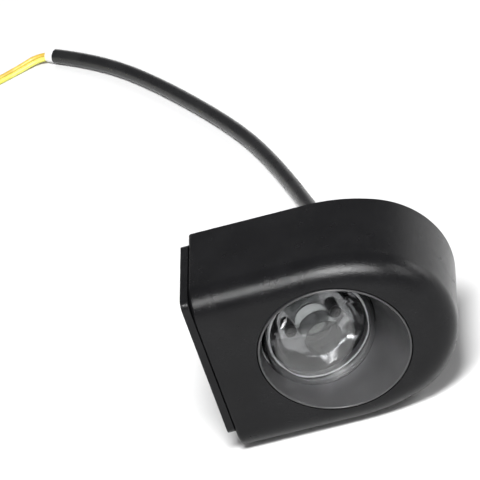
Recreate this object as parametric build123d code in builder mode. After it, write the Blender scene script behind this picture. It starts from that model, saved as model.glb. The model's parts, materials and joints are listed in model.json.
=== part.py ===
from build123d import *
import math
import os

# Small LED turn signal in a D-shaped black housing, mounted by its flat end.
# Millimetres. +Z up, front face towards -Y, rounded nose towards +X, flat mounting end at -X.
# Origin: bottom centre of the lamp (cable not counted), which stands on its lower side wall.

# ---- driving dimensions: housing ----
BODY_H = 48.0            # height of the D, along Z
BODY_D = 30.0            # depth, front face to back face
STRAIGHT = 30.5          # length of the parallel top and bottom walls
SHOULDER_R = 44.0        # gentle arc that starts the rounded end
NOSE_R = 22.4            # arc of the nose
FRONT_ROUND = 7.0        # round-over between side walls and front face
END_ROUND = 0.8          # rounded edges of the flat end
WALL = 2.2
COVER_T = 2.0
SEAL_T = 0.8
COVER_INSET = 1.25       # wall left outside the back cover
MOUNT_T = 1.9            # thickness of the mounting plate on the flat end
MOUNT_W = 26.8           # its width along Y
MOUNT_H = 41.0           # its height along Z, flush with the top
MOUNT_CORNER = 2.2

# ---- driving dimensions: lamp opening and lens axis ----
RIM_X = 0.97             # centre of the elliptical opening
RIM_Z = 24.6
RIM_A = 18.95            # outer half axes of the bezel rim in the front face
RIM_B = 17.8
RIM_W = 0.5              # width of the rim
TILT = 18.0              # lens axis turned from the front normal towards the nose, degrees
SEAT_X = -3.11           # centre of the lens seat
SEAT_DEPTH = 10.0        # below the front face
SEAT_R = 14.85           # opening of the bezel at the seat
SKIRT_IN = 16.9
SKIRT_OUT = 18.3
DOME_R = 14.5
DOME_RISE = 10.0
DOME_T = 1.2
FLANGE_R = 16.6
LUG_RADIUS = 19.6        # circle of the four retainer screws

# ---- driving dimensions: cable ----
CABLE_R = 2.0
WIRE_R = 0.7
CABLE_X = 8.0
CABLE_Z = 20.0

# ---- fits ----
SLIP = 0.02              # screw in its hole
GAP = 0.3                # bezel rim in the housing

# ---- derived ----
HALF_H = BODY_H / 2
FRONT_Y = -BODY_D / 2
BACK_Y = BODY_D / 2
COVER_Y = BACK_Y - COVER_T
LEDGE_Y = COVER_Y - SEAL_T
INNER_FRONT = FRONT_Y + WALL
DROP = SHOULDER_R - NOSE_R
SHOULDER_RUN = math.sqrt(DROP**2 - (SHOULDER_R - HALF_H) ** 2)
SHOULDER_TURN = math.degrees(math.atan2(SHOULDER_RUN, SHOULDER_R - HALF_H))
BODY_L = STRAIGHT + SHOULDER_RUN + NOSE_R
FLAT_X = -(BODY_L - MOUNT_T) / 2
OUTWARD = Vector(math.sin(math.radians(TILT)), -math.cos(math.radians(TILT)), 0)
ACROSS = Vector(math.cos(math.radians(TILT)), math.sin(math.radians(TILT)), 0)
SEAT = Vector(SEAT_X, FRONT_Y + SEAT_DEPTH, RIM_Z)
LENS_AXIS = Axis(SEAT, OUTWARD)
LENS_SECTION = Plane(origin=SEAT, x_dir=ACROSS, z_dir=(0, 0, -1))   # local x radius, local y height

os.makedirs("parts", exist_ok=True)


def save(piece, name):
    piece.part.label = name
    export_step(piece.part, f"parts/{name}.step")


def facing(y):
    """Plane square to Y at that depth; positive extrusions run towards the front."""
    return Plane.XZ.offset(-y)


def lens_plane(height):
    """Plane square to the lens axis; height is measured outward from the lens seat."""
    return Plane(origin=SEAT + OUTWARD * height, x_dir=ACROSS, z_dir=OUTWARD)


def end_plane(x):
    """Plane square to X, facing away from the nose; local x runs along -Y, local y along Z."""
    return Plane(origin=(x, 0, 0), x_dir=(0, -1, 0), z_dir=(-1, 0, 0))


def d_outline(inset):
    """Closed outline of the housing, moved inward by inset."""
    half = HALF_H - inset
    left = FLAT_X + inset
    shoulder = FLAT_X + STRAIGHT
    with BuildLine() as outline:
        top = Line((left, HALF_H + half), (shoulder, HALF_H + half))
        upper = JernArc(top @ 1, (1, 0), SHOULDER_R - inset, -SHOULDER_TURN)
        nose = JernArc(upper @ 1, upper % 1, NOSE_R - inset, -2 * (90 - SHOULDER_TURN))
        lower = JernArc(nose @ 1, nose % 1, SHOULDER_R - inset, -SHOULDER_TURN)
        bottom = Line(lower @ 1, (left, HALF_H - half))
        Line(bottom @ 1, top @ 0)
    return outline


def d_block(inset, y_back, y_front):
    """D-shaped block between two depths."""
    with BuildPart() as block:
        with BuildSketch(facing(y_back)):
            add(d_outline(inset).line)
            make_face()
        extrude(amount=y_back - y_front)
    return block


def front_fillet(block, radius):
    """Round the front edges of a D block, except the one along the flat end."""
    face = block.faces().sort_by(Axis.Y)[0]
    edges = face.edges().sort_by(Axis.X)[1:]
    return block.part.fillet(radius, edges)


def end_fillet(part, radius):
    """Round the two long edges between the flat end and the side walls."""
    face = part.faces().sort_by(Axis.X)[0]
    edges = face.edges().filter_by(Axis.Y)
    return part.fillet(radius, edges)


def ring(outer, inner, low, high):
    """Ring on the lens axis between two heights."""
    with BuildPart() as piece:
        with BuildSketch(lens_plane(low)):
            Circle(outer)
            Circle(inner, mode=Mode.SUBTRACT)
        extrude(amount=high - low)
    return piece


def pan_screw(plane, head_r, head_h, shank_r, length):
    """Pan head screw with its head standing on the plane and its shank below it."""
    with BuildPart() as screw:
        with BuildSketch(plane):
            Circle(head_r)
        extrude(amount=head_h)
        fillet(screw.edges().sort_by(Axis(plane.origin, plane.z_dir))[-1], head_h * 0.45)
        with BuildSketch(plane):
            Circle(shank_r)
        extrude(amount=-length)
        with BuildSketch(plane.offset(head_h)):
            Rectangle(head_r * 1.1, head_r * 0.28)
            Rectangle(head_r * 0.28, head_r * 1.1)
        extrude(amount=-head_h * 0.5, mode=Mode.SUBTRACT)
    return screw.part


def flat_screw(plane, head_r, head_h, shank_r, length):
    """Countersunk screw whose head is flush with the plane."""
    section = Plane(origin=plane.origin, x_dir=plane.x_dir, z_dir=plane.y_dir * -1)
    with BuildPart() as screw:
        with BuildSketch(section):
            with BuildLine():
                Polyline(
                    (0, 0), (head_r, 0), (shank_r, -head_h), (shank_r, -length), (0, -length - shank_r),
                    close=True,
                )
            make_face()
        revolve(axis=Axis(plane.origin, plane.z_dir))
        with BuildSketch(plane):
            Rectangle(head_r * 1.1, head_r * 0.28)
            Rectangle(head_r * 0.28, head_r * 1.1)
        extrude(amount=-head_h * 0.55, mode=Mode.SUBTRACT)
    return screw.part


def group(solids):
    """Identical fasteners in one piece of hardware."""
    with BuildPart() as piece:
        for solid in solids:
            add(solid)
    return piece


# ---- places of the fasteners ----
COVER_POSTS = [(-25.0, 5.2), (-25.0, 42.8), (20.0, 10.5), (20.0, 37.5)]
COVER_POST_R = 2.6
COVER_SCREW_R = 1.1
COVER_HEAD_R = 2.3
BEZEL_POSTS = [(-24.4, RIM_Z), (21.5, RIM_Z - 8), (21.5, RIM_Z + 8)]
BEZEL_POST_R = 2.4
BEZEL_SCREW_R = 1.0
POST_ROOT = 0.5          # how far a post runs into the front wall
COVER_HOLE_L = 12.0
BEZEL_HOLE_L = 4.4
EAR_FRONT = -9.0
EAR_T = 1.4
INSERT_Y = -2.5
INSERT_ZS = (14.5, 40.5)
INSERT_R = 3.2
INSERT_BORE = 2.1
INSERT_L = 7.0
INSERT_BOSS_R = INSERT_R + 1.2
INSERT_BOSS_L = 7.6
INSERT_RELIEF_R = INSERT_BORE + 0.6
PLATE_SCREWS = [(-9.5, 34.5), (4.5, 20.5)]      # (y, z)
PLATE_SCREW_R = 1.1
PLATE_BOSS_R = PLATE_SCREW_R + 1.5
PLATE_BOSS_L = 4.6
PLATE_HOLE_L = 4.2
BOARD_X = 18.3
BOARD_W = 12.0
BOARD_Z = 24.0
BOARD_H = 19.0
BOARD_FRONT = 8.4
BOARD_T = 1.6
BOARD_SCREWS = [(14.8, 31.0), (21.8, 17.0)]
BOARD_SCREW_R = 0.78
LUG_COUNT = 4
LUG_START = 45
LUG_ANGLES = [LUG_START + 360 / LUG_COUNT * i for i in range(LUG_COUNT)]
LUG_R = 2.2
LUG_SCREW_R = 0.9
LUG_HOLE_L = 4.4
OPENING_BACK = 0.6       # the opening's cutter starts this far behind the front wall
OPENING_FRONT = 1.0      # and ends this far in front of it

# ---- housing ----
with BuildPart() as housing:
    add(end_fillet(front_fillet(d_block(0, BACK_Y, FRONT_Y), FRONT_ROUND), END_ROUND))
    add(front_fillet(d_block(WALL, BACK_Y, INNER_FRONT), FRONT_ROUND - WALL), mode=Mode.SUBTRACT)
    add(d_block(COVER_INSET, BACK_Y, LEDGE_Y).part, mode=Mode.SUBTRACT)
    # posts for the cover and for the bezel
    with BuildSketch(facing(COVER_Y)):
        with Locations(*COVER_POSTS):
            Circle(COVER_POST_R)
    extrude(amount=COVER_Y - INNER_FRONT + POST_ROOT)
    with BuildSketch(facing(EAR_FRONT)):
        with Locations(*BEZEL_POSTS):
            Circle(BEZEL_POST_R)
    extrude(amount=EAR_FRONT - INNER_FRONT + POST_ROOT)
    # bosses on the flat end for the threaded inserts and the plate screws
    with BuildSketch(end_plane(FLAT_X + INSERT_BOSS_L)):
        with Locations(*[(-INSERT_Y, z) for z in INSERT_ZS]):
            Circle(INSERT_BOSS_R)
    extrude(amount=INSERT_BOSS_L)
    with BuildSketch(end_plane(FLAT_X + PLATE_BOSS_L)):
        with Locations(*[(-y, z) for y, z in PLATE_SCREWS]):
            Circle(PLATE_BOSS_R)
    extrude(amount=PLATE_BOSS_L)
    # opening of the lamp
    with BuildSketch(facing(INNER_FRONT + OPENING_BACK)):
        with Locations((RIM_X, RIM_Z)):
            Ellipse(RIM_A + GAP, RIM_B + GAP)
    extrude(amount=OPENING_BACK + WALL + OPENING_FRONT, mode=Mode.SUBTRACT)
    # screw and insert holes
    with BuildSketch(facing(COVER_Y)):
        with Locations(*COVER_POSTS):
            Circle(COVER_SCREW_R + SLIP)
    extrude(amount=COVER_HOLE_L, mode=Mode.SUBTRACT)
    with BuildSketch(facing(EAR_FRONT)):
        with Locations(*BEZEL_POSTS):
            Circle(BEZEL_SCREW_R + SLIP)
    extrude(amount=BEZEL_HOLE_L, mode=Mode.SUBTRACT)
    with BuildSketch(end_plane(FLAT_X)):
        with Locations(*[(-INSERT_Y, z) for z in INSERT_ZS]):
            Circle(INSERT_R + SLIP)
    extrude(amount=-INSERT_L, mode=Mode.SUBTRACT)
    with BuildSketch(end_plane(FLAT_X)):
        with Locations(*[(-INSERT_Y, z) for z in INSERT_ZS]):
            Circle(INSERT_RELIEF_R)
    extrude(amount=-INSERT_BOSS_L, mode=Mode.SUBTRACT)
    with BuildSketch(end_plane(FLAT_X)):
        with Locations(*[(-y, z) for y, z in PLATE_SCREWS]):
            Circle(PLATE_SCREW_R + SLIP)
    extrude(amount=-PLATE_HOLE_L, mode=Mode.SUBTRACT)
save(housing, "housing")

# ---- mounting plate on the flat end ----
PLATE_Y = FRONT_Y + MOUNT_W / 2
PLATE_Z = BODY_H - MOUNT_H / 2
PLATE_HEAD_R = 2.1
PLATE_SCREW_L = 4.6
with BuildPart() as mount_plate:
    with BuildSketch(end_plane(FLAT_X)):
        with Locations((-PLATE_Y, PLATE_Z)):
            RectangleRounded(MOUNT_W, MOUNT_H, MOUNT_CORNER)
        with Locations(*[(-INSERT_Y, z) for z in INSERT_ZS]):
            Circle(INSERT_R + GAP, mode=Mode.SUBTRACT)
    extrude(amount=MOUNT_T)
    for place in PLATE_SCREWS:
        hole_plane = end_plane(FLAT_X - MOUNT_T)
        with Locations(hole_plane.location * Location((-place[0], place[1], 0))):
            CounterSinkHole(PLATE_SCREW_R + SLIP, PLATE_HEAD_R + SLIP, depth=MOUNT_T)
save(mount_plate, "mount_plate")


def plate_screw(place):
    origin = Vector(FLAT_X - MOUNT_T, place[0], place[1])
    plane = Plane(origin=origin, x_dir=(0, -1, 0), z_dir=(-1, 0, 0))
    return flat_screw(plane, PLATE_HEAD_R, PLATE_HEAD_R - PLATE_SCREW_R, PLATE_SCREW_R, PLATE_SCREW_L)


save(group([plate_screw(place) for place in PLATE_SCREWS]), "plate_screws")

with BuildPart() as mount_inserts:
    with BuildSketch(end_plane(FLAT_X)):
        with Locations(*[(-INSERT_Y, z) for z in INSERT_ZS]):
            Circle(INSERT_R)
            Circle(INSERT_BORE, mode=Mode.SUBTRACT)
    extrude(amount=-INSERT_L)
save(mount_inserts, "mount_inserts")


# ---- bezel: elliptical rim in the face, funnel down to the tilted lens seat ----
def funnel(a, b, seat_r):
    """Solid between an ellipse in the front face and a circle on the lens seat."""
    with BuildPart() as solid:
        with BuildSketch(facing(FRONT_Y)):
            with Locations((RIM_X, RIM_Z)):
                Ellipse(a, b)
        with BuildSketch(lens_plane(0)):
            Circle(seat_r)
        loft(ruled=True)
    return solid.part


SHOULDER_T = 1.5
SKIRT_END = -4.8
FUNNEL_WALL = 1.4
EAR_HOLE_PLAY = 0.2
LEFT_EAR = (-22.8, 7.0, 6.4, 1.2)       # centre x, length, height, corner radius
RIGHT_EAR = (18.9, 11.0, 20.4, 2.0)     # carries two screws
BEZEL_HEAD_R = 2.0
BEZEL_HEAD_H = 1.5
with BuildPart() as bezel:
    add(funnel(RIM_A, RIM_B, SEAT_R + FUNNEL_WALL))
    with BuildSketch(lens_plane(0)):
        Circle(SKIRT_OUT)
        Circle(SEAT_R, mode=Mode.SUBTRACT)
    extrude(amount=SHOULDER_T)
    with BuildSketch(lens_plane(0)):
        Circle(SKIRT_OUT)
        with PolarLocations(LUG_RADIUS, LUG_COUNT, start_angle=LUG_START):
            Circle(LUG_R)
        Circle(SKIRT_IN, mode=Mode.SUBTRACT)
    extrude(amount=SKIRT_END)
    # ears for the three bezel screws
    with BuildSketch(facing(EAR_FRONT + EAR_T)):
        for ear_x, ear_l, ear_h, ear_corner in (LEFT_EAR, RIGHT_EAR):
            with Locations((ear_x, RIM_Z)):
                RectangleRounded(ear_l, ear_h, ear_corner)
    extrude(amount=EAR_T)
    add(funnel(RIM_A - RIM_W, RIM_B - RIM_W, SEAT_R), mode=Mode.SUBTRACT)
    with BuildSketch(lens_plane(0)):
        Circle(SKIRT_IN)
    extrude(amount=SKIRT_END, mode=Mode.SUBTRACT)
    with BuildSketch(facing(EAR_FRONT + EAR_T)):
        with Locations(*BEZEL_POSTS):
            Circle(BEZEL_SCREW_R + EAR_HOLE_PLAY)
    extrude(amount=EAR_T, mode=Mode.SUBTRACT)
    with BuildSketch(lens_plane(SKIRT_END)):
        with PolarLocations(LUG_RADIUS, LUG_COUNT, start_angle=LUG_START):
            Circle(LUG_SCREW_R + SLIP)
    extrude(amount=LUG_HOLE_L, mode=Mode.SUBTRACT)
save(bezel, "bezel")


def bezel_screw(place):
    plane = Plane(origin=(place[0], EAR_FRONT + EAR_T, place[1]), x_dir=(1, 0, 0), z_dir=(0, 1, 0))
    return pan_screw(plane, BEZEL_HEAD_R, BEZEL_HEAD_H, BEZEL_SCREW_R, EAR_T + 4.0)


save(group([bezel_screw(place) for place in BEZEL_POSTS]), "bezel_screws")

# ---- lens dome, its seal and the reflector, stacked on the lens axis ----
SEAL_H = 0.85
SEAL_PLAY = 0.4
DOME_FOOT = -2.4
DOME_EDGE_R = 7.5        # arc beside the foot of the dome, tangent to the crown arc
DOME_SIDE = DOME_R - DOME_EDGE_R
DOME_CROWN_R = (DOME_SIDE**2 + DOME_RISE**2 - DOME_EDGE_R**2) / (2 * (DOME_RISE - DOME_EDGE_R))
DOME_TURN = math.degrees(math.atan2(DOME_SIDE, DOME_CROWN_R - DOME_RISE))


def dome_line(inset):
    """Two tangent arcs from the foot of the dome to its crown, moved inward by inset."""
    edge = JernArc((DOME_R - inset, 0), (0, 1), DOME_EDGE_R - inset, 90 - DOME_TURN)
    crown = JernArc(edge @ 1, edge % 1, DOME_CROWN_R - inset, DOME_TURN)
    return edge @ 0, crown @ 1


with BuildPart() as lens_dome:
    with BuildSketch(LENS_SECTION):
        with BuildLine():
            outer_foot, outer_top = dome_line(0)
            inner_foot, inner_top = dome_line(DOME_T)
            Line(outer_top, inner_top)
            Polyline(
                outer_foot, (DOME_R, -SEAL_H), (FLANGE_R, -SEAL_H), (FLANGE_R, DOME_FOOT),
                (DOME_R - DOME_T, DOME_FOOT), inner_foot,
            )
        make_face()
    revolve(axis=LENS_AXIS)
save(lens_dome, "lens_dome")

save(ring(FLANGE_R, DOME_R + SEAL_PLAY, -SEAL_H, 0), "lens_seal")

RIM_FOOT = -3.4
FLOOR_TOP = -6.6
FLOOR_FOOT = -7.6
HUB_HOLE_R = 4.1
PIN_RADIUS = 6.0
PIN_R = 0.75
PIN_HEAD_R = 1.5
PIN_HEAD_H = 0.9
PIN_BOSS_R = 1.5
PIN_BOSS_H = 2.0
PIN_L = 7.4
BOWL_WALL_R = 13.15      # outside of the bowl where it stands up into the dome
BOWL = [(12.85, 0.6), (11.9, -4.0), (8.3, FLOOR_TOP)]             # bright side, rim to floor
BOWL_BACK = [(9.2, FLOOR_FOOT), (12.5, -5.8), (13.9, RIM_FOOT)]   # its back, floor to rim
with BuildPart() as reflector:
    with BuildSketch(LENS_SECTION):
        with BuildLine():
            bowl = ThreePointArc(*BOWL)
            back = ThreePointArc(*BOWL_BACK)
            Polyline(
                bowl @ 1, (HUB_HOLE_R, FLOOR_TOP), (HUB_HOLE_R, FLOOR_FOOT), back @ 0,
            )
            Polyline(
                back @ 1, (FLANGE_R, RIM_FOOT), (FLANGE_R, DOME_FOOT), (BOWL_WALL_R, DOME_FOOT),
                (BOWL_WALL_R, BOWL[0][1]), bowl @ 0,
            )
        make_face()
    revolve(axis=LENS_AXIS)
    with BuildSketch(lens_plane(FLOOR_TOP)):
        with PolarLocations(PIN_RADIUS, 2):
            Circle(PIN_BOSS_R)
    extrude(amount=PIN_BOSS_H)
    with BuildSketch(lens_plane(FLOOR_FOOT)):
        with PolarLocations(PIN_RADIUS, 2):
            Circle(PIN_R + SLIP)
    extrude(amount=FLOOR_TOP + PIN_BOSS_H - FLOOR_FOOT, mode=Mode.SUBTRACT)
save(reflector, "reflector")

# ---- LED, its board and heat sink, and the light guide that stands over it ----
LED_BOARD_R = 10.5
LED_BOARD_T = 1.6
LED_BOARD_FOOT = FLOOR_FOOT - LED_BOARD_T
LED_R = 2.5
LED_H = 0.7
LED_RING_R = 2.85
LED_RING_H = 0.95
with BuildPart() as led_board:
    with BuildSketch(lens_plane(LED_BOARD_FOOT)):
        Circle(LED_BOARD_R)
        with PolarLocations(PIN_RADIUS, 2):
            Circle(PIN_R + SLIP, mode=Mode.SUBTRACT)
    extrude(amount=FLOOR_FOOT - LED_BOARD_FOOT)
save(led_board, "led_board")

with BuildPart() as led_emitter:
    with BuildSketch(lens_plane(FLOOR_FOOT)):
        Circle(LED_R)
    extrude(amount=LED_H)
save(led_emitter, "led_emitter")

save(ring(LED_RING_R, LED_R, FLOOR_FOOT, FLOOR_FOOT + LED_RING_H), "led_ring")

# its skirt goes through the hole in the reflector's floor and stands on the board round the LED
GUIDE_SKIRT_R = 4.0
GUIDE_CAVITY_R = 3.1
GUIDE_CEILING = -6.5
GUIDE_SHOULDER_R = 4.25
GUIDE_FRONT_R = 4.65
GUIDE_FRONT = 4.0
GUIDE_ROUND = 0.4
with BuildPart() as light_guide:
    with BuildSketch(LENS_SECTION):
        with BuildLine():
            Polyline(
                (0, GUIDE_CEILING), (GUIDE_CAVITY_R, GUIDE_CEILING), (GUIDE_CAVITY_R, FLOOR_FOOT),
                (GUIDE_SKIRT_R, FLOOR_FOOT), (GUIDE_SKIRT_R, FLOOR_TOP), (GUIDE_SHOULDER_R, FLOOR_TOP),
                (GUIDE_FRONT_R, GUIDE_FRONT), (0, GUIDE_FRONT), close=True,
            )
        make_face()
    revolve(axis=LENS_AXIS)
    fillet(light_guide.edges().sort_by(LENS_AXIS)[-1], GUIDE_ROUND)
save(light_guide, "light_guide")

SINK_PLATE = LED_BOARD_FOOT - 2.2
SINK_HOLE_L = 3.4
FIN_COUNT = 5
FIN_PITCH = 3.4
FIN_INSET = 0.8
FIN_FOOT = -14.5
FIN_T = 1.1
with BuildPart() as heat_sink:
    with BuildSketch(lens_plane(SINK_PLATE)):
        Circle(LED_BOARD_R)
    extrude(amount=LED_BOARD_FOOT - SINK_PLATE)
    with BuildSketch(lens_plane(FIN_FOOT)):
        with GridLocations(FIN_PITCH, 0, FIN_COUNT, 1):
            Rectangle(FIN_T, 2 * LED_BOARD_R)
        Circle(LED_BOARD_R - FIN_INSET, mode=Mode.INTERSECT)
    extrude(amount=SINK_PLATE - FIN_FOOT)
    with BuildSketch(lens_plane(LED_BOARD_FOOT)):
        with PolarLocations(PIN_RADIUS, 2):
            Circle(PIN_R + SLIP)
    extrude(amount=-SINK_HOLE_L, mode=Mode.SUBTRACT)
save(heat_sink, "heat_sink")


def on_lens(height, radius, angle):
    """Plane square to the lens axis at a radius and angle about it."""
    turn = math.radians(angle)
    origin = SEAT + OUTWARD * height + ACROSS * (radius * math.cos(turn))
    origin += Vector(0, 0, radius * math.sin(turn))
    return Plane(origin=origin, x_dir=ACROSS, z_dir=OUTWARD)


save(
    group([
        pan_screw(on_lens(FLOOR_TOP + PIN_BOSS_H, PIN_RADIUS, angle), PIN_HEAD_R, PIN_HEAD_H, PIN_R, PIN_L)
        for angle in (0, 180)
    ]),
    "reflector_screws",
)

# ---- retainer that clamps the stack into the bezel ----
RETAINER_T = 1.4
RETAINER_BACK = SKIRT_END - RETAINER_T
LUG_PLAY = 0.1
LUG_HEAD_R = 1.8
LUG_HEAD_H = 1.3
LUG_SCREW_L = 5.4
RETAINER_BORE = 14.0
with BuildPart() as retainer:
    with BuildSketch(lens_plane(SKIRT_END)):
        Circle(FLANGE_R)
        Circle(RETAINER_BORE, mode=Mode.SUBTRACT)
    extrude(amount=RIM_FOOT - SKIRT_END)
    with BuildSketch(lens_plane(RETAINER_BACK)):
        Circle(SKIRT_OUT)
        with PolarLocations(LUG_RADIUS, LUG_COUNT, start_angle=LUG_START):
            Circle(LUG_R)
        Circle(RETAINER_BORE, mode=Mode.SUBTRACT)
        with PolarLocations(LUG_RADIUS, LUG_COUNT, start_angle=LUG_START):
            Circle(LUG_SCREW_R + LUG_PLAY, mode=Mode.SUBTRACT)
    extrude(amount=SKIRT_END - RETAINER_BACK)
save(retainer, "retainer_ring")


def lug_screw(angle):
    place = on_lens(RETAINER_BACK, LUG_RADIUS, angle)
    plane = Plane(origin=place.origin, x_dir=ACROSS, z_dir=OUTWARD * -1)
    return pan_screw(plane, LUG_HEAD_R, LUG_HEAD_H, LUG_SCREW_R, LUG_SCREW_L)


save(group([lug_screw(a) for a in LUG_ANGLES]), "retainer_screws")

# ---- back cover with its seal and screws ----
COVER_PLAY = 0.1
GLAND_HOLE_R = 4.0
STANDOFF_R = 1.9
STANDOFF_HOLE_L = 2.6
COVER_EDGE = 0.4
COVER_SCREW_L = 10.0
with BuildPart() as back_cover:
    add(d_block(COVER_INSET + COVER_PLAY, BACK_Y, COVER_Y).part)
    chamfer(back_cover.faces().sort_by(Axis.Y)[-1].edges(), COVER_EDGE)
    with BuildSketch(facing(COVER_Y)):
        with Locations(*BOARD_SCREWS):
            Circle(STANDOFF_R)
    extrude(amount=COVER_Y - BOARD_FRONT - BOARD_T)
    with BuildSketch(facing(COVER_Y)):
        with Locations((CABLE_X, CABLE_Z)):
            Circle(GLAND_HOLE_R)
    extrude(amount=-COVER_T, mode=Mode.SUBTRACT)
    with BuildSketch(facing(BOARD_FRONT + BOARD_T)):
        with Locations(*BOARD_SCREWS):
            Circle(BOARD_SCREW_R + SLIP)
    extrude(amount=-STANDOFF_HOLE_L, mode=Mode.SUBTRACT)
    for x, z in COVER_POSTS:
        with Locations(Plane(origin=(x, BACK_Y, z), x_dir=(1, 0, 0), z_dir=(0, 1, 0))):
            CounterSinkHole(COVER_SCREW_R + SLIP, COVER_HEAD_R + SLIP, depth=COVER_T)
save(back_cover, "back_cover")

with BuildPart() as cover_seal:
    add(d_block(COVER_INSET + COVER_PLAY, COVER_Y, LEDGE_Y).part)
    add(d_block(WALL - COVER_PLAY, COVER_Y, LEDGE_Y).part, mode=Mode.SUBTRACT)
    with BuildSketch(facing(COVER_Y)):
        with Locations(*COVER_POSTS):
            Circle(COVER_POST_R + COVER_PLAY)
    extrude(amount=SEAL_T, mode=Mode.SUBTRACT)
save(cover_seal, "cover_seal")


def cover_screw(place):
    plane = Plane(origin=(place[0], BACK_Y, place[1]), x_dir=(1, 0, 0), z_dir=(0, 1, 0))
    return flat_screw(plane, COVER_HEAD_R, COVER_HEAD_R - COVER_SCREW_R, COVER_SCREW_R, COVER_SCREW_L)


save(group([cover_screw(place) for place in COVER_POSTS]), "cover_screws")

# ---- driver board and what stands on it ----
BOARD_HEAD_R = 1.5
BOARD_HEAD_H = 1.0
BOARD_SCREW_L = BOARD_T + 2.2
INDUCTOR_AT = (20.6, 23.6)
INDUCTOR_SIDE = 5.6
INDUCTOR_BASE_H = 0.9
INDUCTOR_R = 2.6
INDUCTOR_H = 2.6
CAPACITOR_AT = (20.8, 29.8)
CAPACITOR_R = 2.5
CAPACITOR_H = 5.4
CHIP_AT = (15.2, 24.2)
CHIP_SIZE = (3.0, 3.8)
CHIP_H = 1.2
DIODE_AT = (16.6, 28.0)
DIODE_SIZE = (2.4, 1.6)
DIODE_H = 1.0
RESISTORS_AT = [(16.0, 16.4), (16.0, 18.6), (16.0, 20.8)]
RESISTOR_SIZE = (2.0, 1.25)
RESISTOR_H = 0.55
with BuildPart() as driver_board:
    with BuildSketch(facing(BOARD_FRONT + BOARD_T)):
        with Locations((BOARD_X, BOARD_Z)):
            Rectangle(BOARD_W, BOARD_H)
        with Locations(*BOARD_SCREWS):
            Circle(BOARD_SCREW_R + SLIP, mode=Mode.SUBTRACT)
    extrude(amount=BOARD_T)
save(driver_board, "driver_board")


def board_screw(place):
    plane = Plane(origin=(place[0], BOARD_FRONT, place[1]), x_dir=(1, 0, 0), z_dir=(0, -1, 0))
    return pan_screw(plane, BOARD_HEAD_R, BOARD_HEAD_H, BOARD_SCREW_R, BOARD_SCREW_L)


save(group([board_screw(place) for place in BOARD_SCREWS]), "board_screws")

with BuildPart() as inductor:
    with BuildSketch(facing(BOARD_FRONT)):
        with Locations(INDUCTOR_AT):
            RectangleRounded(INDUCTOR_SIDE, INDUCTOR_SIDE, 1.2)
    extrude(amount=INDUCTOR_BASE_H)
    with BuildSketch(facing(BOARD_FRONT - INDUCTOR_BASE_H)):
        with Locations(INDUCTOR_AT):
            Circle(INDUCTOR_R)
    extrude(amount=INDUCTOR_H)
save(inductor, "inductor")

with BuildPart() as capacitor:
    with BuildSketch(facing(BOARD_FRONT)):
        with Locations(CAPACITOR_AT):
            Circle(CAPACITOR_R)
    extrude(amount=CAPACITOR_H)
    fillet(capacitor.edges().sort_by(Axis.Y)[0], 0.5)
save(capacitor, "capacitor")

with BuildPart() as driver_chip:
    with BuildSketch(facing(BOARD_FRONT)):
        with Locations(CHIP_AT):
            Rectangle(*CHIP_SIZE)
    extrude(amount=CHIP_H)
save(driver_chip, "driver_chip")

with BuildPart() as diode:
    with BuildSketch(facing(BOARD_FRONT)):
        with Locations(DIODE_AT):
            Rectangle(*DIODE_SIZE)
    extrude(amount=DIODE_H)
save(diode, "diode")

with BuildPart() as resistors:
    with BuildSketch(facing(BOARD_FRONT)):
        with Locations(*RESISTORS_AT):
            Rectangle(*RESISTOR_SIZE)
    extrude(amount=RESISTOR_H)
save(resistors, "resistors")


# ---- wires inside the housing ----
def corner_radii(points):
    """Largest radius at each corner: 0.45 of the shorter run over the tangent of half the turn."""
    radii = []
    for before, corner, after in zip(points, points[1:], points[2:]):
        run_in = Vector(*corner) - Vector(*before)
        run_out = Vector(*after) - Vector(*corner)
        half_turn = math.radians(run_in.get_angle(run_out)) / 2
        radii.append(0.45 * min(run_in.length, run_out.length) / math.tan(half_turn))
    return radii


def tube(points, radius, name):
    """Round tube along straight runs joined by tangent arcs."""
    radii = corner_radii(points)
    with BuildPart() as piece:
        with BuildLine() as route:
            FilletPolyline(*points, radius=radii)
        start = Vector(*points[0])
        along = Vector(*points[1]) - start
        with BuildSketch(Plane(origin=start, z_dir=along)):
            Circle(radius)
        sweep(path=route.line)
    length = sum(edge.length for edge in route.line.edges())
    section = math.pi * radius**2
    print(name, "radii", [round(r, 1) for r in radii], "length", round(length, 1))
    print(name, "volume ratio", round(piece.part.volume / (section * length), 4))
    return piece


SHEATH_INNER_Y = 9.8
FEED_R = 0.65
PAD_X = 14.4
FEED_OFFSET = 0.8
for name, z in (("feed_wire_yellow", CABLE_Z - FEED_OFFSET), ("feed_wire_orange", CABLE_Z + FEED_OFFSET)):
    wire_y = BOARD_FRONT - FEED_R
    route_points = [(CABLE_X, SHEATH_INNER_Y, z), (CABLE_X, wire_y, z), (PAD_X, wire_y, z)]
    save(tube(route_points, FEED_R, name), name)

LED_WIRE_R = 0.45
LED_WIRE_Y = BOARD_FRONT - LED_WIRE_R
LED_WIRE_MID_X = 8.6
LED_PAD_X = 13.4
SOLDER_GAP = 0.05        # the square end of a wire clears the round edge of the board
for name, z in (("led_wire_red", 28.0), ("led_wire_black", 26.4)):
    off_centre = abs(z - RIM_Z) - LED_WIRE_R
    reach = math.sqrt(LED_BOARD_R**2 - off_centre**2) + SOLDER_GAP
    edge = lens_plane((FLOOR_FOOT + LED_BOARD_FOOT) / 2).origin + ACROSS * reach
    route_points = [(edge.X, edge.Y, z), (LED_WIRE_MID_X, LED_WIRE_Y, z), (LED_PAD_X, LED_WIRE_Y, z)]
    save(tube(route_points, LED_WIRE_R, name), name)

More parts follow.
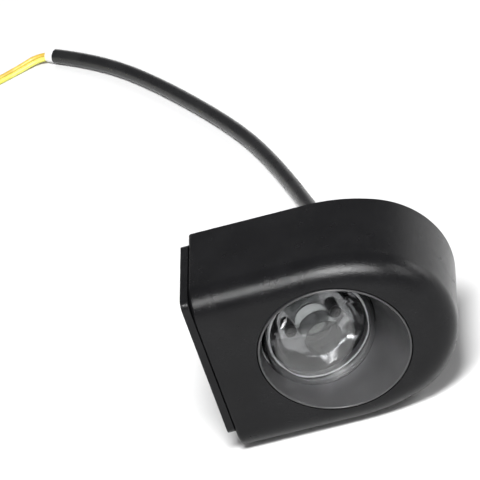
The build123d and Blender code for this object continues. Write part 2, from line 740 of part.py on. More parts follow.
# ---- cable grommet, tie, cable and wires ----
NECK_R = GLAND_HOLE_R - 0.05
BORE_R = CABLE_R + 0.03
GROMMET_END = 28.0
GROMMET_MOUTH = 20.5     # where the bore starts to flare away from the cable
INNER_LIP_R = 5.0
INNER_LIP_T = 1.2
OUTER_LIP_R = 5.3
LIP_T = 1.0
LIP_ROUND = 0.5
SLEEVE_FOOT_R = 4.1
SLEEVE_TIP_R = 3.3
SLEEVE_TIP_BORE = 2.7
CABLE_SECTION = Plane(origin=(CABLE_X, 0, CABLE_Z), x_dir=(1, 0, 0), z_dir=(0, 0, 1))
CABLE_AXIS = Axis((CABLE_X, 0, CABLE_Z), (0, 1, 0))
with BuildPart() as grommet:
    with BuildSketch(CABLE_SECTION):
        with BuildLine():
            Polyline(
                (BORE_R, COVER_Y - INNER_LIP_T), (INNER_LIP_R, COVER_Y - INNER_LIP_T),
                (INNER_LIP_R, COVER_Y), (NECK_R, COVER_Y), (NECK_R, BACK_Y), (OUTER_LIP_R, BACK_Y),
                (OUTER_LIP_R, BACK_Y + LIP_T), (OUTER_LIP_R - LIP_ROUND, BACK_Y + LIP_T + LIP_ROUND),
                (SLEEVE_FOOT_R, BACK_Y + LIP_T + LIP_ROUND), (SLEEVE_TIP_R, GROMMET_END),
                (SLEEVE_TIP_BORE, GROMMET_END), (BORE_R, GROMMET_MOUTH),
                close=True,
            )
        make_face()
    revolve(axis=CABLE_AXIS)
save(grommet, "cable_grommet")

TIE_Y = 10.1
TIE_W = 1.5
TIE_T = 0.8
TIE_HEAD_DROP = 1.3
TIE_HEAD_SIZE = (2.6, 2.2)
with BuildPart() as cable_tie:
    with BuildSketch(facing(TIE_Y + TIE_W)):
        with Locations((CABLE_X, CABLE_Z)):
            Circle(CABLE_R + TIE_T)
        with Locations((CABLE_X, CABLE_Z - CABLE_R - TIE_HEAD_DROP)):
            Rectangle(*TIE_HEAD_SIZE)
        with Locations((CABLE_X, CABLE_Z)):
            Circle(CABLE_R + SLIP, mode=Mode.SUBTRACT)
    extrude(amount=TIE_W)
save(cable_tie, "cable_tie")

# Route of the free cable: out of the grommet, down to the surface, then curving away.
SHEATH_ROUTE = [
    (CABLE_X, SHEATH_INNER_Y, CABLE_Z),
    (CABLE_X, 29.0, CABLE_Z),
    (5.4, 49.5, 15.5),
    (-6.2, 68.5, 4.3),
    (-19.4, 106.5, 2.0),
    (-31.6, 131.4, 2.0),
    (-56.4, 166.3, 2.0),
    (-73.0, 183.3, 2.0),
    (-84.0, 190.6, 2.0),
]
save(tube(SHEATH_ROUTE, CABLE_R, "cable_sheath"), "cable_sheath")

# pale inner jacket that shows where the outer one is stripped back
LINER_R = 1.9
LINER_BORE = 1.7
LINER_L = 2.5
sheath_end = Vector(*SHEATH_ROUTE[-1])
sheath_run = sheath_end - Vector(*SHEATH_ROUTE[-2])
with BuildPart() as cable_liner:
    with BuildSketch(Plane(origin=sheath_end, z_dir=sheath_run)):
        Circle(LINER_R)
        Circle(LINER_BORE, mode=Mode.SUBTRACT)
    extrude(amount=LINER_L)
save(cable_liner, "cable_liner")

TERMINAL_Z = 2.4
ORANGE_ROUTE = [
    (-83.62, 191.28, 2.0),
    (-88.6, 194.6, 1.6),
    (-96.0, 191.2, 0.7),
    (-104.8, 186.9, 0.7),
    (-115.5, 184.0, 0.9),
    (-126.0, 185.4, TERMINAL_Z),
    (-135.8, 187.9, TERMINAL_Z),
]
YELLOW_ROUTE = [
    (-84.51, 190.00, 2.0),
    (-88.2, 192.3, 1.5),
    (-95.3, 189.5, 0.7),
    (-104.2, 185.1, 0.7),
    (-113.5, 178.8, 0.9),
    (-122.5, 174.2, TERMINAL_Z),
    (-132.0, 170.8, TERMINAL_Z),
]
save(tube(ORANGE_ROUTE, WIRE_R, "wire_orange"), "wire_orange")
save(tube(YELLOW_ROUTE, WIRE_R, "wire_yellow"), "wire_yellow")

# ---- bullet terminals and their insulating sleeves on the wire ends ----
BARREL_R = 1.6
BARREL_DEPTH = 4.0
BARREL_L = 6.0
BULLET_R = 2.0
SLEEVE_R = 2.4
SLEEVE_L = 11.0
SLEEVE_REACH = 3.0       # how far the sleeve runs past the end of the wire
CRIMP_PLAY = 0.05
NECK_BULLET_R = 1.3
BULLET_PROFILE = [(NECK_BULLET_R, 3.8), (BULLET_R, 4.6), (BULLET_R, 8.6), (1.5, 9.4), (1.5, 10.0),
                  (BULLET_R, 10.6), (BULLET_R - 0.2, 11.6), (1.0, 12.4), (0, 12.6)]


def end_section(route):
    """Plane through the last run of a wire; local y runs on past its end, along the run."""
    run = (Vector(*route[-1]) - Vector(*route[-2])).normalized()
    side = run.cross(Vector(0, 0, 1))
    return Plane(origin=route[-1], x_dir=side, z_dir=side.cross(run)), Axis(route[-1], run)


for name, route in (("orange", ORANGE_ROUTE), ("yellow", YELLOW_ROUTE)):
    section, axis = end_section(route)
    with BuildPart() as terminal:
        with BuildSketch(section):
            with BuildLine():
                Polyline(
                    (0, 0), (WIRE_R + CRIMP_PLAY, 0), (WIRE_R + CRIMP_PLAY, -BARREL_DEPTH),
                    (BARREL_R, -BARREL_DEPTH), (BARREL_R, BARREL_L - BARREL_DEPTH),
                    (NECK_BULLET_R, BARREL_L - BARREL_DEPTH + 0.6), *BULLET_PROFILE,
                    close=True,
                )
            make_face()
        revolve(axis=axis)
    save(terminal, f"terminal_{name}")
    with BuildPart() as sleeve:
        with BuildSketch(section):
            with Locations(((BARREL_R + CRIMP_PLAY + SLEEVE_R) / 2, SLEEVE_REACH - SLEEVE_L / 2)):
                Rectangle(SLEEVE_R - BARREL_R - CRIMP_PLAY, SLEEVE_L)
        revolve(axis=axis)
    save(sleeve, f"terminal_sleeve_{name}")
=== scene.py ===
import json
import math

import bmesh
import bpy
from mathutils import Matrix, Vector


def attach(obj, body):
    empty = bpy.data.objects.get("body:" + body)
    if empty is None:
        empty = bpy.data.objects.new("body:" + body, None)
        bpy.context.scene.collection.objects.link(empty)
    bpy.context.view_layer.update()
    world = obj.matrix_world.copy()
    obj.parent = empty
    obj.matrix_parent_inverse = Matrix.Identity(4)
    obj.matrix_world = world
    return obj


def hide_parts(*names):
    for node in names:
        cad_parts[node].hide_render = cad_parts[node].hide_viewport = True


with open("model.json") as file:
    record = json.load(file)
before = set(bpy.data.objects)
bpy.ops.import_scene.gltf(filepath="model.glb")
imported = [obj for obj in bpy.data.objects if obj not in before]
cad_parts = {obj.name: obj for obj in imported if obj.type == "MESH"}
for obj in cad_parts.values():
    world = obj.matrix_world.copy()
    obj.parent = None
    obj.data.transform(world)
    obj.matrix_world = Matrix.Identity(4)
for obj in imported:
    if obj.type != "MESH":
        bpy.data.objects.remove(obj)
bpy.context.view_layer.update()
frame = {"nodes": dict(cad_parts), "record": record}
nodes = frame["nodes"]

MM = 0.001

# ---- lens axis, as in the CAD model: turned from the front normal towards the nose ----
TILT = math.radians(18.0)
OUTWARD = Vector((math.sin(TILT), -math.cos(TILT), 0))
ACROSS = Vector((math.cos(TILT), math.sin(TILT), 0))
SEAT = Vector((-3.11, -5.0, 24.6)) * MM


# ---- camera ----
def make_camera():
    """Long lens from in front and above, rolled so that the lamp leans. Its place and turn were fitted to
    the outline in the photograph."""
    location = Vector((0.214028, -1.136854, 0.798068))
    right = Vector((0.9562458, 0.0005577, -0.2925641))
    up = Vector((0.2409569, 0.5656655, 0.7886459))
    back = right.cross(up).normalized()
    data = bpy.data.cameras.new("camera")
    data.sensor_width = 36.0
    data.lens = 423.55
    data.clip_start = 0.05
    data.clip_end = 50.0
    camera = bpy.data.objects.new("camera", data)
    bpy.context.scene.collection.objects.link(camera)
    camera.matrix_world = Matrix.Translation(location) @ Matrix((right, up, back)).transposed().to_4x4()
    bpy.context.scene.camera = camera


def settle(piece, material, slot, *replaced):
    """Gives a piece its material and its body, and hides the CAD nodes it stands in for. Its slot is not
    used.
    """
    piece.data.materials.append(material)
    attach(piece, "root")
    if replaced:
        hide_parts(*replaced)


# ---- cords: the routes are the CAD routes, in millimetres ----
SHEATH_ROUTE = [
    (8, 9.8, 20), (8, 29, 20), (5.4, 49.5, 15.5), (-6.2, 68.5, 4.3), (-19.4, 106.5, 2),
    (-31.6, 131.4, 2), (-56.4, 166.3, 2), (-73, 183.3, 2), (-84, 190.6, 2),
]
ORANGE_ROUTE = [
    (-83.62, 191.28, 2), (-88.6, 194.6, 1.6), (-96, 191.2, 0.7), (-104.8, 186.9, 0.7),
    (-115.5, 184, 0.9), (-126, 185.4, 2.4), (-135.8, 187.9, 2.4),
]
YELLOW_ROUTE = [
    (-84.51, 190.0, 2), (-88.2, 192.3, 1.5), (-95.3, 189.5, 0.7), (-104.2, 185.1, 0.7),
    (-113.5, 178.8, 0.9), (-122.5, 174.2, 2.4), (-132, 170.8, 2.4),
]
CABLE_D = 4.0 * MM
WIRE_D = 1.4 * MM
CABLE_X = 8
CABLE_Z = 20
GROMMET_END = 28.0


def cord_curve(name, route, diameter):
    """Smooth round cord along one NURBS spline with the route as its control points."""
    data = bpy.data.curves.new(name, "CURVE")
    data.dimensions = "3D"
    spline = data.splines.new("NURBS")
    spline.points.add(len(route) - 1)
    for point, place in zip(spline.points, route):
        point.co = (*(Vector(place) * MM), 1.0)
    spline.order_u = 3
    spline.use_endpoint_u = True
    spline.resolution_u = 16
    data.bevel_depth = diameter / 2
    data.bevel_resolution = 8
    data.use_fill_caps = True
    piece = bpy.data.objects.new(name, data)
    bpy.context.scene.collection.objects.link(piece)
    return piece


def make_cords(looks, grommet):
    """The sheathed cable from inside the housing to its cut end, and the two wires from there on."""
    sheath = cord_curve("sheath_cord", SHEATH_ROUTE, CABLE_D)
    settle(sheath, looks["cable_jacket"], "cable_jacket", "cable_sheath")
    for colour, route, length in (("orange", ORANGE_ROUTE, 0.0552), ("yellow", YELLOW_ROUTE, 0.0532)):
        wire = cord_curve(f"{colour}_cord", route, WIRE_D)
        settle(wire, looks[f"insulation_{colour}"], f"insulation_{colour}", f"wire_{colour}")


# ---- materials ----
NOISE_LOW = 0.3          # nearly all of a noise pattern lies between these two
NOISE_HIGH = 0.7
BLEND_LOW = 0.35         # where the dark colour ends and the light one begins
BLEND_HIGH = 0.65


class Look:
    """One Principled material whose patterns are in real size, in the coordinates of its piece."""

    def __init__(self, name, colour, rough, metallic=0.0, **sockets):
        self.material = bpy.data.materials.new(name)
        self.material.use_nodes = True
        self.tree = self.material.node_tree
        self.shader = self.tree.nodes["Principled BSDF"]
        self.shader.inputs["Base Color"].default_value = (*colour, 1)
        self.shader.inputs["Roughness"].default_value = rough
        self.shader.inputs["Metallic"].default_value = metallic
        for socket, value in sockets.items():
            self.shader.inputs[socket.replace("_", " ")].default_value = value
        self.place = self.tree.nodes.new("ShaderNodeTexCoord").outputs["Object"]

    def stretched(self, stretch):
        """Coordinates squeezed along an axis, for grain and scratches."""
        mapping = self.tree.nodes.new("ShaderNodeMapping")
        mapping.inputs["Scale"].default_value = stretch
        self.tree.links.new(self.place, mapping.inputs["Vector"])
        return mapping.outputs["Vector"]

    def noise(self, size, detail, stretch=None):
        """Noise whose blotches are about that size, in metres."""
        node = self.tree.nodes.new("ShaderNodeTexNoise")
        node.inputs["Scale"].default_value = 1 / size
        node.inputs["Detail"].default_value = detail
        source = self.place if stretch is None else self.stretched(stretch)
        self.tree.links.new(source, node.inputs["Vector"])
        return node.outputs["Fac"]

    def grains(self, size):
        """Distance to the nearest grain, for moulded texture."""
        node = self.tree.nodes.new("ShaderNodeTexVoronoi")
        node.inputs["Scale"].default_value = 1 / size
        self.tree.links.new(self.place, node.inputs["Vector"])
        return node.outputs["Distance"]

    def colours(self, pattern, dark, light):
        """Blends from the dark colour to the light one along the pattern."""
        ramp = self.tree.nodes.new("ShaderNodeValToRGB")
        ramp.color_ramp.elements[0].position = BLEND_LOW
        ramp.color_ramp.elements[0].color = (*dark, 1)
        ramp.color_ramp.elements[1].position = BLEND_HIGH
        ramp.color_ramp.elements[1].color = (*light, 1)
        self.tree.links.new(pattern, ramp.inputs["Fac"])
        self.tree.links.new(ramp.outputs["Color"], self.shader.inputs["Base Color"])
        return self

    def roughness(self, pattern, low, high):
        """Spreads the roughness between low and high along the pattern."""
        spread = self.tree.nodes.new("ShaderNodeMapRange")
        spread.inputs["From Min"].default_value = NOISE_LOW
        spread.inputs["From Max"].default_value = NOISE_HIGH
        spread.inputs["To Min"].default_value = low
        spread.inputs["To Max"].default_value = high
        self.tree.links.new(pattern, spread.inputs["Value"])
        self.tree.links.new(spread.outputs["Result"], self.shader.inputs["Roughness"])
        return self

    def bump(self, pattern, depth):
        """Relief of that depth, in metres, over whatever relief is there already."""
        node = self.tree.nodes.new("ShaderNodeBump")
        node.inputs["Distance"].default_value = depth
        self.tree.links.new(pattern, node.inputs["Height"])
        normal = self.shader.inputs["Normal"]
        if normal.is_linked:
            self.tree.links.new(normal.links[0].from_socket, node.inputs["Normal"])
        self.tree.links.new(node.outputs["Normal"], normal)
        return self

    def let_lamps_through(self):
        """Clear plastic that doesn't shade what is behind it."""
        output = self.tree.nodes["Material Output"]
        mix = self.tree.nodes.new("ShaderNodeMixShader")
        clear = self.tree.nodes.new("ShaderNodeBsdfTransparent")
        path = self.tree.nodes.new("ShaderNodeLightPath")
        self.tree.links.new(path.outputs["Is Shadow Ray"], mix.inputs["Fac"])
        self.tree.links.new(self.shader.outputs["BSDF"], mix.inputs[1])
        self.tree.links.new(clear.outputs["BSDF"], mix.inputs[2])
        self.tree.links.new(mix.outputs["Shader"], output.inputs["Surface"])
        return self


def moulded(name, dark, light, rough, grain, depth, specular):
    """Moulded plastic or rubber: grain in the surface, blotchy gloss and faint rubbing marks."""
    look = Look(name, light, rough[0], Specular_IOR_Level=specular)
    look.colours(look.noise(9 * MM, 5), dark, light)
    look.roughness(look.noise(3 * MM, 6), *rough)
    look.bump(look.grains(grain * MM), depth * MM)
    look.bump(look.noise(grain * MM * 0.6, 2), depth * MM * 0.6)
    return look.material


def bright_metal(name, dark, light, rough, stretch):
    """Machined, drawn or plated metal with fine grain and light tarnish."""
    look = Look(name, light, rough[0], metallic=1.0)
    look.colours(look.noise(4 * MM, 5), dark, light)
    look.roughness(look.noise(1.2 * MM, 4), *rough)
    look.bump(look.noise(0.5 * MM, 4, stretch), 0.01 * MM)
    return look.material


def insulation(name, dark, light):
    """Soft vinyl with blotchy gloss and handling marks."""
    look = Look(name, light, 0.36, Specular_IOR_Level=0.5)
    look.colours(look.noise(2.5 * MM, 5), dark, light)
    look.roughness(look.noise(0.8 * MM, 4), 0.3, 0.48)
    look.bump(look.noise(0.35 * MM, 4), 0.02 * MM)
    return look.material


def clear_plastic(name, tint, rough, ior):
    """Clear or tinted plastic with faint hairline scratches in its gloss."""
    look = Look(name, tint, rough[0], Transmission_Weight=1.0, IOR=ior, Specular_IOR_Level=0.25)
    look.roughness(look.noise(1.5 * MM, 6, (1, 1, 6)), *rough)
    return look.let_lamps_through().material


# dark, light, roughness, size of the grain and its depth in millimetres, specular level
MOULDED = {
    "black_plastic": ((0.0038, 0.0038, 0.0042), (0.0055, 0.0055, 0.006), (0.22, 0.28), 0.3, 0.035, 0.17),
    "bezel_plastic": ((0.026, 0.026, 0.027), (0.034, 0.034, 0.035), (0.3, 0.4), 0.12, 0.003, 0.5),
    "seal_rubber": ((0.012, 0.012, 0.012), (0.02, 0.02, 0.02), (0.6, 0.75), 0.2, 0.01, 0.3),
    "grommet_rubber": ((0.01, 0.01, 0.01), (0.018, 0.018, 0.018), (0.45, 0.6), 0.25, 0.012, 0.35),
    "cable_jacket": ((0.006, 0.006, 0.0065), (0.01, 0.01, 0.0105), (0.24, 0.34), 0.3, 0.008, 0.5),
    "chip_epoxy": ((0.015, 0.015, 0.016), (0.03, 0.03, 0.032), (0.5, 0.65), 0.1, 0.004, 0.4),
    "ferrite": ((0.04, 0.04, 0.043), (0.07, 0.07, 0.075), (0.5, 0.7), 0.15, 0.008, 0.4),
    "tie_nylon": ((0.6, 0.59, 0.54), (0.74, 0.73, 0.68), (0.35, 0.5), 0.2, 0.005, 0.5),
    "board_black": ((0.012, 0.012, 0.012), (0.02, 0.02, 0.02), (0.3, 0.45), 0.15, 0.003, 0.5),
    "board_green": ((0.012, 0.085, 0.035), (0.02, 0.13, 0.055), (0.25, 0.4), 0.15, 0.003, 0.5),
    "led_package": ((0.7, 0.7, 0.67), (0.82, 0.82, 0.79), (0.25, 0.4), 0.1, 0.003, 0.5),
    "liner_white": ((0.6, 0.6, 0.61), (0.72, 0.72, 0.73), (0.45, 0.6), 0.2, 0.006, 0.4),
    "screw_black": ((0.01, 0.01, 0.01), (0.02, 0.02, 0.02), (0.35, 0.5), 0.1, 0.003, 0.6),
}
# dark, light, roughness, how much the grain is squeezed along each axis
METALS = {
    "screw_steel": ((0.42, 0.42, 0.43), (0.6, 0.6, 0.62), (0.22, 0.4), (1, 8, 1)),
    "insert_brass": ((0.5, 0.34, 0.14), (0.72, 0.53, 0.25), (0.25, 0.42), (8, 1, 1)),
    "terminal_metal": ((0.62, 0.55, 0.4), (0.78, 0.72, 0.58), (0.18, 0.35), (1, 6, 1)),
    "sink_aluminium": ((0.45, 0.46, 0.48), (0.62, 0.63, 0.65), (0.3, 0.5), (1, 1, 8)),
    "led_ring_metal": ((0.75, 0.75, 0.76), (0.9, 0.9, 0.91), (0.1, 0.2), (1, 1, 1)),
    "capacitor_can": ((0.55, 0.55, 0.57), (0.7, 0.7, 0.72), (0.25, 0.38), (1, 8, 1)),
    "reflector_chrome": ((0.12, 0.12, 0.123), (0.21, 0.21, 0.215), (0.04, 0.09), (1, 1, 1)),
    "satin_lip": ((0.28, 0.28, 0.285), (0.42, 0.42, 0.43), (0.28, 0.42), (1, 1, 1)),
}
# dark, light
INSULATIONS = {
    "insulation_orange": ((0.42, 0.27, 0.03), (0.55, 0.38, 0.06)),
    "insulation_yellow": ((0.48, 0.46, 0.07), (0.62, 0.61, 0.14)),
    "insulation_red": ((0.42, 0.02, 0.015), (0.6, 0.035, 0.02)),
    "insulation_black": ((0.012, 0.012, 0.012), (0.024, 0.024, 0.024)),
}
# tint, roughness, refractive index
CLEAR_PLASTICS = {
    "clear_lens": ((0.97, 0.98, 0.98), (0.0, 0.03), 1.5),
    # the light guide is tinted dark grey, which darkens all that is seen in and through it
    "guide_clear": ((0.32, 0.33, 0.33), (0.0, 0.02), 1.49),
    "sleeve_vinyl": ((0.9, 0.91, 0.88), (0.12, 0.22), 1.25),
}


def make_looks():
    """Every material by name: one for each slot of the record, and satin_lip for the lip of the bowl."""
    looks = {}
    for make, table in ((moulded, MOULDED), (bright_metal, METALS),
                        (insulation, INSULATIONS), (clear_plastic, CLEAR_PLASTICS)):
        for name, values in table.items():
            looks[name] = make(name, *values)
    return looks


# ---- turned pieces on an axis ----
def arc(centre, radius, start, end, count):
    """Points (radius, height) along an arc in the axis plane, angles in degrees."""
    points = []
    for i in range(count + 1):
        angle = math.radians(start + (end - start) * i / count)
        points.append((centre[0] + radius * math.cos(angle), centre[1] + radius * math.sin(angle)))
    return points


def mesh_piece(name, mesh, smooth_angle):
    """Object from a finished bmesh, smooth except along edges sharper than smooth_angle, in degrees."""
    bmesh.ops.recalc_face_normals(mesh, faces=mesh.faces)
    data = bpy.data.meshes.new(name)
    mesh.to_mesh(data)
    mesh.free()
    data.polygons.foreach_set("use_smooth", [True] * len(data.polygons))
    data.set_sharp_from_angle(angle=math.radians(smooth_angle))
    piece = bpy.data.objects.new(name, data)
    bpy.context.scene.collection.objects.link(piece)
    return piece


ON_AXIS = 1e-6           # a smaller radius than this is a point on the axis


def turned(name, profile, origin, axis, side, segments, relief=None, smooth_angle=32):
    """Profile of (radius, height) in mm turned about an axis: closed by itself, or by the axis where both its
    ends lie there. relief(radius, angle) moves a point along the axis."""
    third = axis.cross(side)
    mesh = bmesh.new()
    rings = []
    for radius, height in profile:
        if radius < ON_AXIS:
            rings.append([mesh.verts.new(origin + axis * (height * MM))])
            continue
        ring = []
        for i in range(segments):
            angle = 2 * math.pi * i / segments
            lift = relief(radius, angle) if relief else 0.0
            spoke = side * math.cos(angle) + third * math.sin(angle)
            ring.append(mesh.verts.new(origin + spoke * (radius * MM) + axis * ((height + lift) * MM)))
        rings.append(ring)
    pairs = list(zip(rings, rings[1:]))
    if profile[0][0] > ON_AXIS and profile[-1][0] > ON_AXIS:
        pairs.append((rings[-1], rings[0]))
    for ring, following in pairs:
        for i in range(segments):
            j = (i + 1) % segments
            corners = [ring[i % len(ring)], ring[j % len(ring)]]
            corners += [following[j % len(following)], following[i % len(following)]]
            distinct = list(dict.fromkeys(corners))
            if len(distinct) > 2:
                mesh.faces.new(distinct)
    return mesh_piece(name, mesh, smooth_angle)


# ---- dome: radii and heights over the lens seat in millimetres, as in the CAD model ----
DOME_R = 14.5
DOME_RISE = 10.0
DOME_T = 1.2
DOME_EDGE_R = 7.5
DOME_SIDE = DOME_R - DOME_EDGE_R
DOME_CROWN_R = (DOME_SIDE**2 + DOME_RISE**2 - DOME_EDGE_R**2) / (2 * (DOME_RISE - DOME_EDGE_R))
DOME_TURN = math.degrees(math.atan2(DOME_SIDE, DOME_CROWN_R - DOME_RISE))
FLANGE_R = 16.6
DOME_FOOT = -2.4
SEAL_H = 0.85


def dome_shell(inset):
    """Edge arc and crown arc of the dome, moved inward by inset, from the foot to the crown."""
    edge = arc((DOME_SIDE, 0), DOME_EDGE_R - inset, 0, 90 - DOME_TURN, 18)
    crown = arc((0, DOME_RISE - DOME_CROWN_R), DOME_CROWN_R - inset, 90 - DOME_TURN, 90, 20)
    return edge + crown[1:-1] + [(0.0, DOME_RISE - inset)]


def make_dome(looks):
    """Clear shell from the crown down to the flange that sits on the seal."""
    outer = dome_shell(0)
    inner = dome_shell(DOME_T)
    foot = [(DOME_R - DOME_T, DOME_FOOT), (FLANGE_R, DOME_FOOT), (FLANGE_R, -SEAL_H), (DOME_R, -SEAL_H)]
    profile = inner[::-1] + foot + outer
    dome = turned("dome_glass", profile, SEAT, OUTWARD, ACROSS, segments=192)
    settle(dome, looks["clear_lens"], "clear_lens", "lens_dome")


# ---- light guide over the LED ----
BOWL_FLOOR = -6.6
GUIDE_CEILING = -6.5
GUIDE_CAVITY_R = 3.1
GUIDE_CAVITY_EDGE = 0.15         # slanted corner between the ceiling and the wall of the cavity
GUIDE_FOOT = -7.58
GUIDE_SKIRT_R = 4.0
GUIDE_SHOULDER_R = 4.25
GUIDE_FRONT_R = 4.65
GUIDE_FRONT = 4.0
# rounded edge of its front: steps in from the side and down from the front
GUIDE_ROUND = ((0, 0.4), (0.05, 0.18), (0.2, 0.05), (0.45, 0))


def make_guide(looks):
    """Cavity over the LED, skirt in the bowl's hub, shoulder on its floor, tapered side, flat front."""
    cavity = [(0.0, GUIDE_CEILING), (GUIDE_CAVITY_R - GUIDE_CAVITY_EDGE, GUIDE_CEILING),
              (GUIDE_CAVITY_R, GUIDE_CEILING - GUIDE_CAVITY_EDGE), (GUIDE_CAVITY_R, GUIDE_FOOT)]
    skirt = [(GUIDE_SKIRT_R, GUIDE_FOOT), (GUIDE_SKIRT_R, BOWL_FLOOR), (GUIDE_SHOULDER_R, BOWL_FLOOR)]
    front = [(GUIDE_FRONT_R - inward, GUIDE_FRONT - down) for inward, down in GUIDE_ROUND]
    profile = cavity + skirt + front + [(0.0, GUIDE_FRONT)]
    guide = turned("guide_glass", profile, SEAT, OUTWARD, ACROSS, segments=128, smooth_angle=28)
    settle(guide, looks["guide_clear"], "guide_clear", "light_guide")


# ---- rim of the bezel ----
RIM_CENTRE = Vector((0.97, -15.0, 24.6)) * MM
RIM_A = 18.95            # outer half axes, along X and Z
RIM_B = 17.8
RIM_W = 0.5
RIM_LIP_R = 0.24


def make_rim_lip(looks):
    """Rounded bead along the middle of the bezel's rim."""
    around, section = 192, 12
    half_x, half_z = RIM_A - RIM_W / 2, RIM_B - RIM_W / 2
    mesh = bmesh.new()
    rings = []
    for i in range(around):
        turn = 2 * math.pi * i / around
        middle = RIM_CENTRE + Vector((half_x * math.cos(turn), 0, half_z * math.sin(turn))) * MM
        outward = Vector((RIM_B * math.cos(turn), 0, RIM_A * math.sin(turn))).normalized()
        ring = []
        for j in range(section):
            angle = 2 * math.pi * j / section
            spoke = outward * math.cos(angle) + Vector((0, math.sin(angle), 0))
            ring.append(mesh.verts.new(middle + spoke * (RIM_LIP_R * MM)))
        rings.append(ring)
    for i in range(around):
        ring, following = rings[i], rings[(i + 1) % around]
        for j in range(section):
            k = (j + 1) % section
            mesh.faces.new((ring[j], ring[k], following[k], following[j]))
    lip = mesh_piece("rim_lip", mesh, smooth_angle=40)
    settle(lip, looks["bezel_plastic"], "bezel_plastic")


# ---- reflector ----
LOBES = 8
LOBE_DEPTH = 0.3
BOWL_INNER_R = 8.3
BOWL_OUTER_R = 12.85
BOWL_TOP = 0.6
BOWL_WALL_R = 13.15      # outside of the bowl where it stands up into the dome
BOWL_WALL_END = (12.82, -2.4)
SWEEP_R = 12.75          # the bright side sweeps from here down to the floor
SWEEP_TOP = -3.05
SWEEP_RUN = 4.85
SWEEP_DROP = 3.5
SWEEP_STEPS = 18
FLOOR_EDGE_R = 7.4
FLOOR_FOOT = -7.6
HUB_HOLE_R = 4.1
RIM_FOOT = -3.4
BOWL_BACK = [(9.2, FLOOR_FOOT), (11.2, -7.0), (12.8, -5.4), (13.9, RIM_FOOT)]
BOWL_LIP_FOOT = -1.6
BOWL_LIP = [(12.5, BOWL_TOP), (12.75, BOWL_LIP_FOOT), (13.1, BOWL_LIP_FOOT),
            (13.14, BOWL_TOP - 0.1), (12.9, BOWL_TOP + 0.1)]
PIN_RADIUS = 6.0         # how far the two bosses stand from the lens axis
PIN_BORE_R = 0.8
PIN_BOSS_R = 1.5
PIN_BOSS_H = 2.0
PIN_BOSS_EDGE = 0.05     # it flares by this at its foot and is bevelled by it at its top


def lobed(radius, angle):
    """Shallow petals pressed through the wall of the bowl, deepest half way out."""
    if radius < BOWL_INNER_R or radius > BOWL_OUTER_R:
        return 0.0
    across_bowl = math.sin(math.pi * (radius - BOWL_INNER_R) / (BOWL_OUTER_R - BOWL_INNER_R))
    return -LOBE_DEPTH * abs(math.sin(angle * LOBES / 2)) * across_bowl


def make_reflector(looks):
    """Bowl with pressed petals, on the CAD bowl's rim and floor, with its satin lip and two screw bosses."""
    bright = [(BOWL_OUTER_R, BOWL_TOP), BOWL_WALL_END]
    for i in range(SWEEP_STEPS + 1):
        share = i / SWEEP_STEPS
        bright.append((SWEEP_R - SWEEP_RUN * share, SWEEP_TOP - SWEEP_DROP * math.sin(share * math.pi / 2)))
    floor = [(FLOOR_EDGE_R, BOWL_FLOOR), (HUB_HOLE_R, BOWL_FLOOR), (HUB_HOLE_R, FLOOR_FOOT)]
    rim = [(FLANGE_R, RIM_FOOT), (FLANGE_R, DOME_FOOT), (BOWL_WALL_R, DOME_FOOT), (BOWL_WALL_R, BOWL_TOP)]
    bowl = turned("reflector_bowl", bright + floor + BOWL_BACK + rim, SEAT, OUTWARD, ACROSS,
                  segments=192, relief=lobed, smooth_angle=24)
    settle(bowl, looks["reflector_chrome"], "reflector_chrome", "reflector")
    lip = turned("bowl_lip", BOWL_LIP, SEAT, OUTWARD, ACROSS, segments=160)
    settle(lip, looks["satin_lip"], "reflector_chrome")
    top = BOWL_FLOOR + PIN_BOSS_H
    profile = [(PIN_BORE_R, BOWL_FLOOR), (PIN_BOSS_R + PIN_BOSS_EDGE, BOWL_FLOOR),
               (PIN_BOSS_R, top - PIN_BOSS_EDGE), (PIN_BOSS_R - PIN_BOSS_EDGE, top), (PIN_BORE_R, top)]
    for name, side in (("pin_boss_right", 1), ("pin_boss_left", -1)):
        foot = SEAT + ACROSS * (side * PIN_RADIUS * MM)
        boss = turned(name, profile, foot, OUTWARD, ACROSS, segments=48)
        settle(boss, looks["reflector_chrome"], "reflector_chrome")


# ---- grommet: radii about the cable and places along Y, in millimetres ----
COVER_Y = 13.0           # inner face of the back cover
BACK_Y = 15.0            # its outer face
BORE_R = 2.03
BORE_MOUTH = 20.5        # where the bore starts to flare away from the cable
NECK_R = 3.95
INNER_LIP_R = 5.0
INNER_LIP_T = 1.2
OUTER_LIP_R = 5.3
OUTER_LIP_END = BACK_Y + 1.5
# rounded edge of the outer lip: steps in from its side and back from its end
OUTER_LIP_ROUND = ((0, 0.5), (0.15, 0.15), (0.4, 0))
SLEEVE_FOOT_R = 4.1
SLEEVE_TIP_R = 3.3
SLEEVE_TIP_BORE = 2.7
SLEEVE_TIP_EDGE = (0.2, 0.3)     # bevel of the tip, across and along
GROOVES = 5
GROOVES_START = 17.2
GROOVES_END = 27.2
GROOVE_DEPTH = 0.45
# one groove: share of the pitch, share of the depth
GROOVE_SHAPE = ((0.0, 0), (0.42, 0), (0.5, 1), (0.74, 1), (0.82, 0))


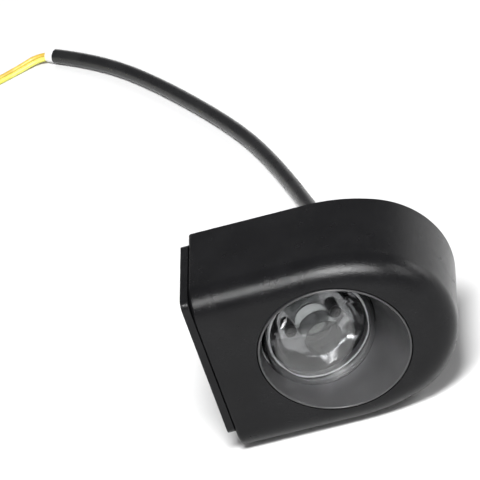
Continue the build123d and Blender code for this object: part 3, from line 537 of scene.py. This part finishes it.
def make_grommet(looks):
    """Strain relief on the CAD outline, with flexing grooves cut into it."""
    profile = [(BORE_R, COVER_Y - INNER_LIP_T), (INNER_LIP_R, COVER_Y - INNER_LIP_T), (INNER_LIP_R, COVER_Y),
               (NECK_R, COVER_Y), (NECK_R, BACK_Y), (OUTER_LIP_R, BACK_Y)]
    profile += [(OUTER_LIP_R - inward, OUTER_LIP_END - back) for inward, back in OUTER_LIP_ROUND]
    profile.append((SLEEVE_FOOT_R, OUTER_LIP_END))
    pitch = (GROOVES_END - GROOVES_START) / GROOVES
    for i in range(GROOVES):
        for share, deep in GROOVE_SHAPE:
            along = GROOVES_START + pitch * (i + share)
            gone = (along - OUTER_LIP_END) / (GROMMET_END - OUTER_LIP_END)
            taper = SLEEVE_FOOT_R + (SLEEVE_TIP_R - SLEEVE_FOOT_R) * gone
            profile.append((taper - deep * GROOVE_DEPTH, along))
    edge_across, edge_along = SLEEVE_TIP_EDGE
    profile += [(SLEEVE_TIP_R, GROMMET_END - edge_along), (SLEEVE_TIP_R - edge_across, GROMMET_END),
                (SLEEVE_TIP_BORE, GROMMET_END), (BORE_R, BORE_MOUTH)]
    middle = Vector((CABLE_X * MM, 0, CABLE_Z * MM))
    grommet = turned("grommet_relief", profile, middle, Vector((0, 1, 0)), Vector((1, 0, 0)), segments=72)
    settle(grommet, looks["grommet_rubber"], "grommet_rubber", "cable_grommet")
    return grommet


def dress_cad_nodes(looks):
    """Every CAD node takes the material of its slot in the record."""
    for entry in frame["record"]["subparts"]:
        data = nodes[entry["node"]].data
        data.materials.clear()
        data.materials.append(looks[entry["material_slot"]])


# ---- stage and light ----
def make_floor():
    """Plain pale ground under the lamp."""
    look = Look("floor", (0.56, 0.56, 0.56), 0.85, Specular_IOR_Level=0.1)
    look.colours(look.noise(0.2, 2), (0.55, 0.55, 0.55), (0.565, 0.565, 0.565))
    data = bpy.data.meshes.new("floor")
    half = 6.0
    corners = [(-half, -half, 0), (half, -half, 0), (half, half, 0), (-half, half, 0)]
    data.from_pydata(corners, [], [(0, 1, 2, 3)])
    data.materials.append(look.material)
    floor = bpy.data.objects.new("floor", data)
    bpy.context.scene.collection.objects.link(floor)


LAMP_MIDDLE = Vector((0, 0, 0.024))
HORIZON = 0.06           # the world is pale below this height of the sky, as the sine of its angle
SKY = 0.3                # and dim above this one


def area_light(name, direction, distance, width, height, power):
    """Soft panel seen from the lamp in that direction, facing the lamp."""
    data = bpy.data.lights.new(name, "AREA")
    data.shape = "RECTANGLE"
    data.size = width
    data.size_y = height
    data.energy = power
    light = bpy.data.objects.new(name, data)
    bpy.context.scene.collection.objects.link(light)
    towards = Vector(direction).normalized()
    light.location = LAMP_MIDDLE + towards * distance
    light.rotation_mode = "QUATERNION"
    light.rotation_quaternion = towards.to_track_quat("Z", "Y")


def make_light():
    """Softbox overhead, weaker panels at the left, right and back, and a world that is pale below."""
    area_light("key_softbox", (0.08, -0.5, 0.86), distance=1.2, width=0.4, height=0.26, power=32)
    area_light("left_panel", (-0.61, -0.64, 0.46), distance=1.5, width=0.25, height=0.5, power=5)
    area_light("right_panel", (0.79, -0.15, 0.6), distance=1.5, width=0.45, height=0.35, power=7)
    area_light("back_panel", (0.9, 0.55, 0.3), distance=1.5, width=0.5, height=0.5, power=5)
    world = bpy.data.worlds.new("world")
    bpy.context.scene.world = world
    world.use_nodes = True
    tree = world.node_tree
    coords = tree.nodes.new("ShaderNodeTexCoord")
    split = tree.nodes.new("ShaderNodeSeparateXYZ")
    ramp = tree.nodes.new("ShaderNodeValToRGB")
    ramp.color_ramp.elements[0].position = HORIZON
    ramp.color_ramp.elements[0].color = (1.25, 1.25, 1.25, 1)
    ramp.color_ramp.elements[1].position = SKY
    ramp.color_ramp.elements[1].color = (0.16, 0.16, 0.165, 1)
    tree.links.new(coords.outputs["Generated"], split.inputs["Vector"])
    tree.links.new(split.outputs["Z"], ramp.inputs["Fac"])
    tree.links.new(ramp.outputs["Color"], tree.nodes["Background"].inputs["Color"])
    bpy.context.scene.view_settings.view_transform = "Standard"


make_camera()
looks = make_looks()
make_cords(looks, make_grommet(looks))
make_dome(looks)
make_guide(looks)
make_rim_lip(looks)
make_reflector(looks)
dress_cad_nodes(looks)
make_floor()
make_light()
